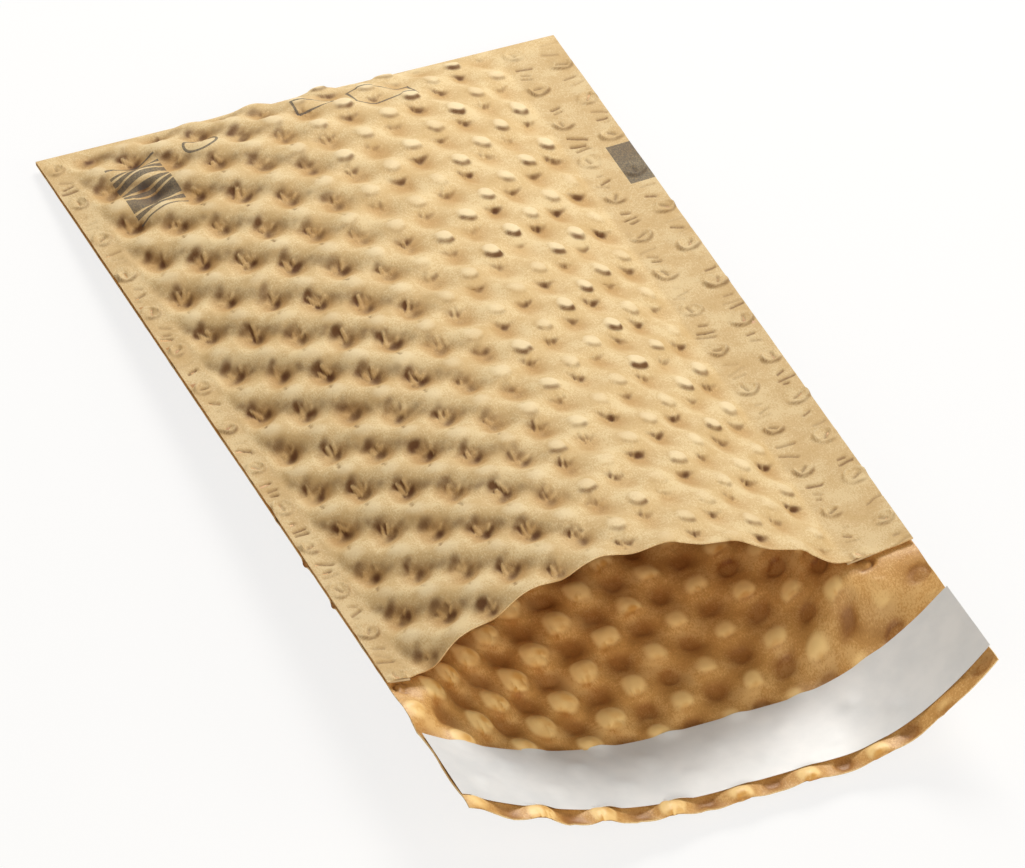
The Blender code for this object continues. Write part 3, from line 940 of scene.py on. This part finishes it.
def kraft_material(name, shades, side, reach, pressed, painted_highlight_tint, highlight_share, painted_shade_colour, roughness, bump_height,
                   printed):
    """Clouds and fibres between three shades, then tints: for the dimples partly denser pressed paper and
    partly painted shade, a painted highlight for the tops, and painted shade of creases, steps and rims.

    side is -1 for the inner face, where a bump is hollow. The tints are full at a height of reach in
    millimetres, and the tops take at most the given share of their painted highlight.
    """
    material, tree, shader = new_material(name)
    place = add(tree, "ShaderNodeUVMap", uv_map="flat_place").outputs["UV"]
    clouds = add(tree, "ShaderNodeTexNoise",
                 {"Vector": place, "Scale": UV_UNIT / 9.0, "Detail": 5.0, "Roughness": 0.6})
    turned = add(tree, "ShaderNodeMapping", {"Vector": place, "Scale": (1.0, 0.6, 1.0)})
    fibres = add(tree, "ShaderNodeTexNoise", {
        "Vector": turned.outputs["Vector"], "Scale": UV_UNIT / 0.4, "Detail": 2.0, "Roughness": 0.8,
        "Distortion": 0.4})
    both = calculate(tree, "MULTIPLY_ADD", fibres.outputs["Fac"], 0.8, clouds.outputs["Fac"])
    stops = [(0.6, shades[0]), (0.9, shades[1]), (1.2, shades[2])]
    colour = set_stops(add(tree, "ShaderNodeValToRGB", {"Fac": both}), stops)
    relief = add(tree, "ShaderNodeAttribute", attribute_name="relief").outputs["Fac"]
    painted_shade = add(tree, "ShaderNodeAttribute", attribute_name="painted_shade").outputs["Fac"]
    # Tints: dimples, partly pressed paper and partly painted shade; painted highlight on tops; painted
    # shade
    tints = ((relief, 0.1 * side, -reach * side, 0.6, pressed, "MULTIPLY"),
             (relief, 0.4 * reach * side, reach * side, highlight_share, painted_highlight_tint, "MIX"),
             (painted_shade, 0.05, 0.9, 1.0, painted_shade_colour, "MULTIPLY"))
    for value, low, high, most, tint, kind in tints:
        share = add(tree, "ShaderNodeMapRange",
                    {"Value": value, "From Min": low, "From Max": high, "To Min": 0.0, "To Max": most},
                    interpolation_type="SMOOTHSTEP")
        colour = mixed(tree, share.outputs["Result"], colour, tint, kind)
    if printed:
        worn = add(tree, "ShaderNodeMapRange", {
            "Value": fibres.outputs["Fac"], "From Min": 0.3, "From Max": 0.6,
            "To Min": 0.55, "To Max": 0.88})
        ink = calculate(tree, "MULTIPLY", print_field(tree, place), worn.outputs["Result"])
        colour = mixed(tree, ink, colour, INK, "MIX")
    shader.inputs["IOR"].default_value = 1.45
    set_surface(tree, shader, colour, roughness, both, bump_height)
    return material


# All three: the dimple tint is partly painted shade, the tops' tint a painted highlight, the last tint
# painted shade
kraft_outside = kraft_material(
    "unbleached kraft paper, outside", OUTSIDE, side=1, reach=1.4, pressed="#D8BC90", painted_highlight_tint="#F4E2BA",
    highlight_share=0.7, painted_shade_colour="#80644A", roughness=0.75, bump_height=0.12, printed=True)
kraft_inside = kraft_material(
    "unbleached kraft paper, inside", INSIDE, side=-1, reach=0.95, pressed="#A0733F", painted_highlight_tint="#FFDC98",
    highlight_share=1.0, painted_shade_colour="#D8BC90", roughness=0.46, bump_height=0.07, printed=False)
kraft_edge = kraft_material(
    "cut edge of kraft paper", OUTSIDE, side=1, reach=1.4, pressed="#C9A877", painted_highlight_tint="#EAD3A2",
    highlight_share=0.5, painted_shade_colour="#C9A877", roughness=0.9, bump_height=0.05, printed=False)
for pieces, finishes in (((front_near, front_far), (kraft_outside, kraft_inside, kraft_edge)),
                         ((back_far, back_near), (kraft_inside, kraft_outside, kraft_edge))):
    for piece in pieces:
        for finish in finishes:
            piece.data.materials.append(finish)
print("materials:", [material.name for material in bpy.data.materials])

# %% [markdown]
# ## The peel-off strip and its adhesive
#
# The strip is release paper: smooth, pale, coated with silicone so that glue lets go of it. It lies on
# the flap, bridges its bumps and shows them only as a faint quilting. It lies a little to the right and
# reaches the flap's edge there. It is a grid as the panels are, with the flap's own form as its base.

# %% Bands on the flap
LINER_SHIFT = 0.25
LINER_MARGIN = 0.25
ADHESIVE_WIDTH = 17.0
ADHESIVE_MARGIN = 3.0
BAND_STEP = 0.8
BAND_REST = 0.22
BAND_SOFT = 0.15


def flap_band(name, width, margin, shift, gap, thickness):
    """A band across the flap that lies on its domes and sinks a little between them.

    Its height is the larger of the dome's and a resting height, with a soft bend between the two.
    """
    centre = STRIP_END - LINER_SETBACK - LINER_WIDTH / 2
    s = np.linspace(centre - width / 2, centre + width / 2, count_for(width, BAND_STEP, 2))[:, None]
    share = np.linspace(-1, 1, count_for(PANEL_WIDTH, BAND_STEP, 2))[None, :]
    x = share * (half_width(s) - margin) + shift
    flat_x = share * (PANEL_WIDTH / 2 - margin) + 0 * s
    u = s + 0 * share
    dome = -sheet_relief(flat_x, u)[0]
    draped = (dome + BAND_REST + np.sqrt((dome - BAND_REST) ** 2 + BAND_SOFT ** 2)) / 2
    low = np.stack([x, -u, back_level(x, s) + PAPER + draped + gap], -1)
    high = low + np.array([0, 0, thickness])
    return closed_sheet(name, high, low, np.stack([flat_x, u], -1), 2, flip=True)


liner = flap_band("release_liner_strip", LINER_WIDTH, LINER_MARGIN, LINER_SHIFT, 0.25, 0.1)
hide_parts("release_liner")
adhesive = flap_band("adhesive_band", ADHESIVE_WIDTH, ADHESIVE_MARGIN, 0.0, 0.02, 0.06)
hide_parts("flap_adhesive")


# %% Materials of the strip, the adhesive and the glue
def soft_material(name, shades, roughness, patch, bump_height):
    """Two shades in patches of a given size in millimetres, with a soft bump of the same noise."""
    material, tree, shader = new_material(name)
    place = add(tree, "ShaderNodeTexCoord").outputs["Object"]
    noise = add(tree, "ShaderNodeTexNoise", {"Vector": place, "Scale": 1 / (patch * MM), "Detail": 4.0})
    ramp_node = add(tree, "ShaderNodeValToRGB", {"Fac": noise.outputs["Fac"]})
    colour = set_stops(ramp_node, [(0.35, shades[0]), (0.65, shades[1])])
    set_surface(tree, shader, colour, roughness, noise.outputs["Fac"], bump_height)
    return material


liner.data.materials.append(soft_material(
    "silicone-coated release paper", ("#DCE0E4", "#E5E8EB"), roughness=0.45, patch=7.0, bump_height=0.05))
adhesive.data.materials.append(soft_material(
    "pressure-sensitive adhesive", ("#E4DCC0", "#EEE7D0"), roughness=0.2, patch=3.0, bump_height=0.05))
hot_melt = soft_material(
    "hot-melt glue", ("#D2BB90", "#E4D4B0"), roughness=0.22, patch=1.5, bump_height=0.1)

# %% [markdown]
# ## The glue in the side seams
#
# Beads of hot-melt glue are pressed into thin bands between the two layers. Almost all of a band is
# hidden, but its ragged edge can be seen between the layers at the side.

# %% Glue in the side seams
GLUE_FROM_FOLD = 2.5
GLUE_INSET = 0.8
GLUE_STEP = 2.0
EDGE_INSET = 0.45
EDGE_RAGGED = 0.35


def seam_glue(name, side, seam, node):
    """A band that follows the seam's slope, with a ragged outer edge from noise along it."""
    count = count_for(PANEL_LENGTH, GLUE_STEP, 2)
    s = np.linspace(GLUE_FROM_FOLD, PANEL_LENGTH - GLUE_INSET, count)[:, None]
    edge = half_width(s)
    outer = edge - EDGE_INSET - EDGE_RAGGED * np.abs(value_noise(s, 0 * s, 3.0, 6 + side))
    inner = edge - seam + GLUE_INSET
    x = np.sort(side * (inner + (outer - inner) * np.linspace(0, 1, 5)[None, :]), axis=1)
    y = -s + 0 * x
    middle = seam_level(x, s)
    thickness = HALF_SEAM - PAPER - 0.02
    high = np.stack([x, y, middle + thickness], -1)
    low = np.stack([x, y, middle - thickness], -1)
    piece = closed_sheet(name, high, low, np.stack([x, -y], -1), 2, flip=True)
    piece.data.materials.append(hot_melt)
    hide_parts(node)


seam_glue("glue_of_left_seam", -1, LEFT_SEAM, "seam_glue_left")
seam_glue("glue_of_right_seam", 1, RIGHT_SEAM, "seam_glue_right")

# %% [markdown]
# ## Stage, light and camera
#
# Embossed paper lives by its shadows. The key lamp stands behind the mailer and to the right, so that
# every slope that faces the camera goes dark and every crest stays pale. A weak lamp in front on the
# left and a low one in front on the right soften that, and a weak world fills the shadows. The floor
# shows the camera some of its own white, and still takes the mailer's shadow.

# %% Floor, world and lights
FLOOR_HALF = 6
FLOOR_GLOW = 0.8
WORLD_STRENGTH = 0.2


def floor_material():
    """A pale matt floor that glows a little for the camera alone."""
    material, tree, shader = new_material("pale floor")
    shader.inputs["Base Color"].default_value = linear("#F4F4F3")
    shader.inputs["Roughness"].default_value = 0.9
    glow = add(tree, "ShaderNodeEmission", {"Strength": 1.0})
    path = add(tree, "ShaderNodeLightPath")
    part = calculate(tree, "MULTIPLY", path.outputs["Is Camera Ray"], FLOOR_GLOW)
    mix = add(tree, "ShaderNodeMixShader", {0: part, 1: shader.outputs[0], 2: glow.outputs[0]})
    tree.links.new(mix.outputs[0], tree.nodes["Material Output"].inputs["Surface"])
    return material


floor_mesh = bpy.data.meshes.new("floor")
corners = [(x * FLOOR_HALF, y * FLOOR_HALF, 0) for x, y in ((-1, -1), (1, -1), (1, 1), (-1, 1))]
floor_mesh.from_pydata(corners, [], [(0, 1, 2, 3)])
floor = new_object("floor", floor_mesh)
floor.data.materials.append(floor_material())
floor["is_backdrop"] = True

world = bpy.data.worlds.new("studio")
bpy.context.scene.world = world
world.use_nodes = True
tree = world.node_tree
for old in list(tree.nodes):
    tree.nodes.remove(old)
dim = add(tree, "ShaderNodeBackground", {"Color": linear("#FFF8EE"), "Strength": WORLD_STRENGTH})
white = add(tree, "ShaderNodeBackground", {"Color": (1.0, 1.0, 1.0, 1.0), "Strength": 1.0})
path = add(tree, "ShaderNodeLightPath")
mix = add(tree, "ShaderNodeMixShader",
          {0: path.outputs["Is Camera Ray"], 1: dim.outputs[0], 2: white.outputs[0]})
add(tree, "ShaderNodeOutputWorld", {"Surface": mix.outputs[0]})


def soft_light(name, azimuth, elevation, distance, size, power, colour):
    """A square lamp that looks at the origin, by degrees clockwise from +Y and above it, and metres."""
    lamp = bpy.data.lights.new(name, "AREA")
    lamp.size = size
    lamp.energy = power
    lamp.color = linear(colour)[:3]
    az, el = math.radians(azimuth), math.radians(elevation)
    direction = Vector((math.sin(az) * math.cos(el), math.cos(az) * math.cos(el), math.sin(el)))
    holder = new_object(name, lamp)
    holder.location = direction * distance
    holder.rotation_euler = direction.to_track_quat("Z", "Y").to_euler()


soft_light("key", 28, 43, 1.2, 0.5, 13.2, "#FFFBF5")
soft_light("fill", -145, 32, 1.0, 0.7, 3.5, "#FFF2E0")
soft_light("side", 140, 18, 1.2, 0.5, 5.2, "#FFF8EC")

# %% [markdown]
# The camera was found by fitting the corners of the seams and the flap, whose sizes are known, to their
# places in the picture. Its angles are given in the seams' frame and are turned with that frame.

# %% Camera
PICTURE_WIDTH = 1025
SENSOR_WIDTH = 36.0
FOCAL_PIXELS = 6516.0
CAMERA_AZIMUTH, CAMERA_ELEVATION, CAMERA_ROLL = -21.93, 37.34, -1.08
CAMERA_DISTANCE = 1533.0
LOOK_AT = (-3.88, -150.71, 0.0)


def place_camera():
    """Sets the camera back from the point it looks at, and turns its axes onto the table."""
    az, el, roll = (math.radians(v) for v in (CAMERA_AZIMUTH, CAMERA_ELEVATION, CAMERA_ROLL))
    back = np.array([math.sin(az) * math.cos(el), -math.cos(az) * math.cos(el), math.sin(el)])
    right = np.array([math.cos(az), math.sin(az), 0.0])
    up = np.cross(back, right)
    right, up = math.cos(roll) * right + math.sin(roll) * up, math.cos(roll) * up - math.sin(roll) * right
    centre = to_table(np.array(LOOK_AT) + CAMERA_DISTANCE * back)
    axes = [(to_table(axis) - to_table(np.zeros(3))) / MM for axis in (right, up, back)]
    camera = new_object("camera", bpy.data.cameras.new("camera"))
    columns = [(*axes[0], 0), (*axes[1], 0), (*axes[2], 0), (*centre, 1)]
    camera.matrix_world = Matrix(columns).transposed()
    camera.data.sensor_width = SENSOR_WIDTH
    camera.data.lens = FOCAL_PIXELS * SENSOR_WIDTH / PICTURE_WIDTH
    camera.data.clip_end = 50.0
    bpy.context.scene.camera = camera
    print("camera at", np.round(centre, 3), "with a lens of", round(camera.data.lens, 1), "mm")


place_camera()
bpy.context.scene.view_settings.view_transform = "Standard"

# %% Keep the sizes, and finish
visual_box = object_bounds()
boxes = {"cad": [list(corner) for corner in cad_box], "visual": [list(corner) for corner in visual_box]}
for name, corners in boxes.items():
    print(name, "box in mm:", np.round(1000 * np.array(corners), 1).tolist())
